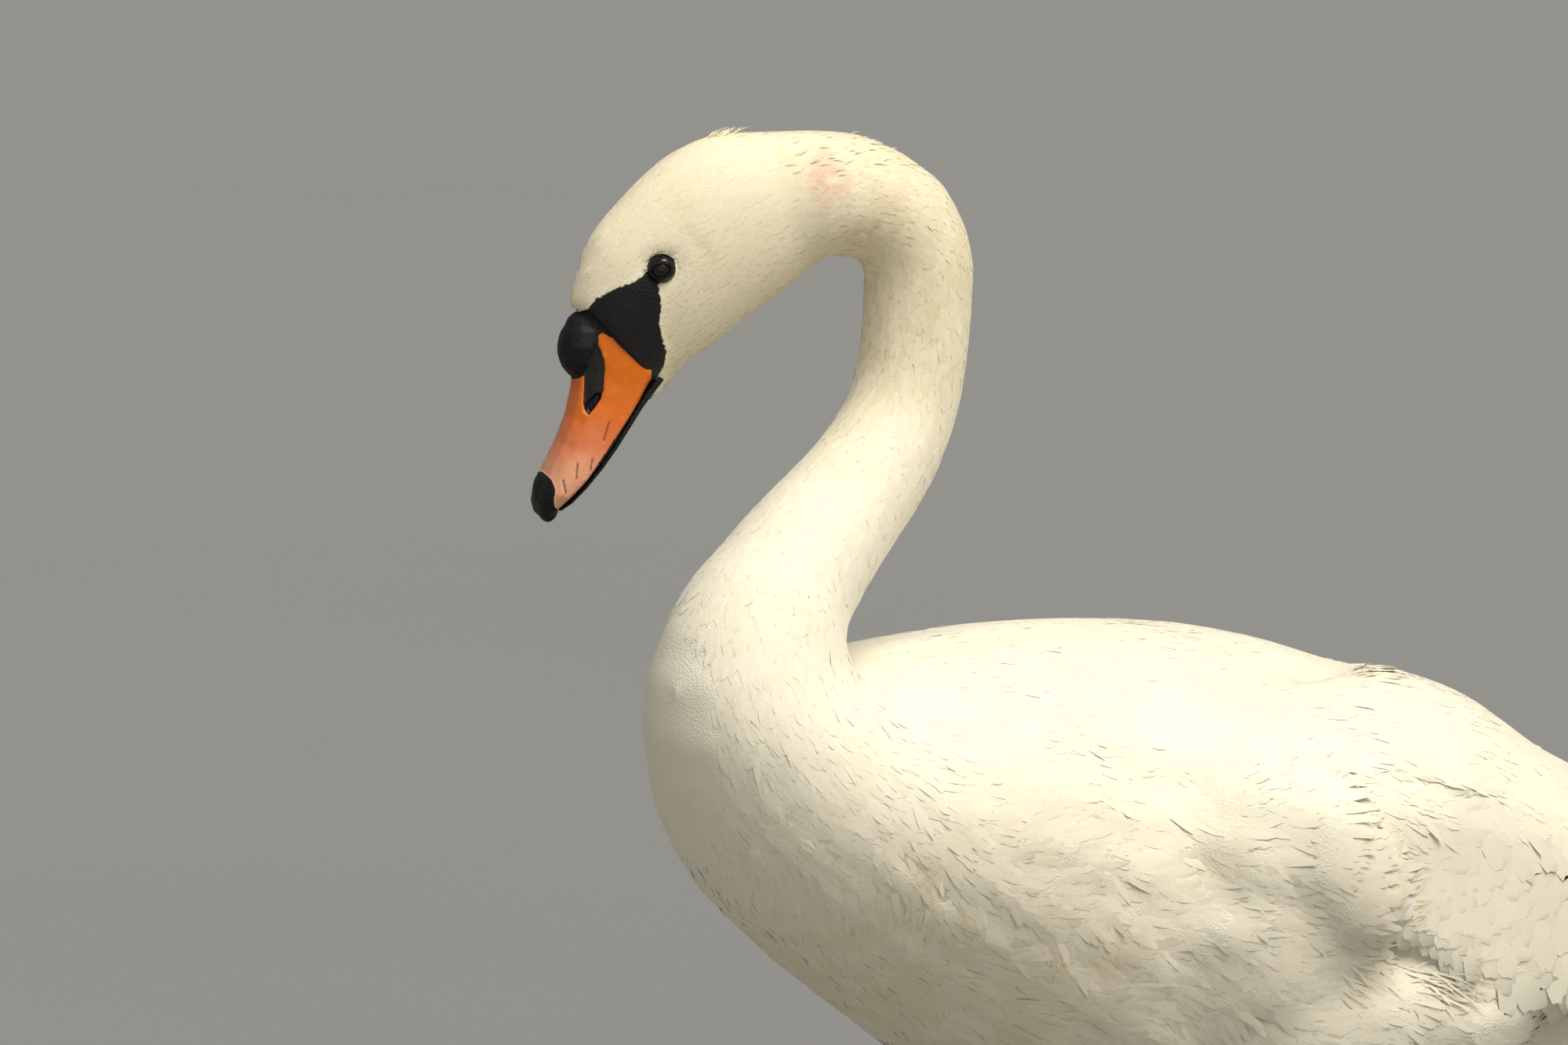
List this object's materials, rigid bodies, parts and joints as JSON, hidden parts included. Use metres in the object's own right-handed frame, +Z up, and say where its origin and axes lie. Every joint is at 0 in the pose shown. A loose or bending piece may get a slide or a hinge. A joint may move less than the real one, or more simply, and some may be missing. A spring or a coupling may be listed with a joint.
{
  "type": "mute swan",
  "caption": "Adult male mute swan as a still, life-size model: standing, neck drawn back in an S, head turned and lowered, wings folded.",
  "frame": {"origin": "on the floor under the middle of the bird's box", "axes": "+Z up, the body faces -Y with its tail at +Y, +X towards the bird's left side"},
  "size_m": [0.3324, 0.908, 0.7199],
  "materials": {
    "plumage": "matte, feathered",
    "bill": "satin horn",
    "black_skin": "satin, scaly on the legs",
    "claw": "satin horn",
    "eye": "gloss"
  },
  "bodies": {
    "root": {"head": "plumage", "bill_upper": "bill", "bill_lower": "black_skin", "bill_knob": "black_skin", "bill_nail": "black_skin", "eye_left": "eye", "eye_right": "eye", "neck_upper": "plumage", "neck_middle": "plumage", "neck_lower": "plumage", "trunk": "plumage", "tail": "plumage", "wing_left": "plumage", "wing_right": "plumage", "flight_left": "plumage", "flight_right": "plumage", "primaries_left": "plumage", "primaries_right": "plumage", "thigh_left": "plumage", "thigh_right": "plumage", "shank_left": "black_skin", "shank_right": "black_skin", "foot_left": "black_skin", "foot_right": "black_skin", "claw_left_inner": "claw", "claw_left_middle": "claw", "claw_left_outer": "claw", "claw_right_inner": "claw", "claw_right_middle": "claw", "claw_right_outer": "claw"}
  },
  "joints": []
}
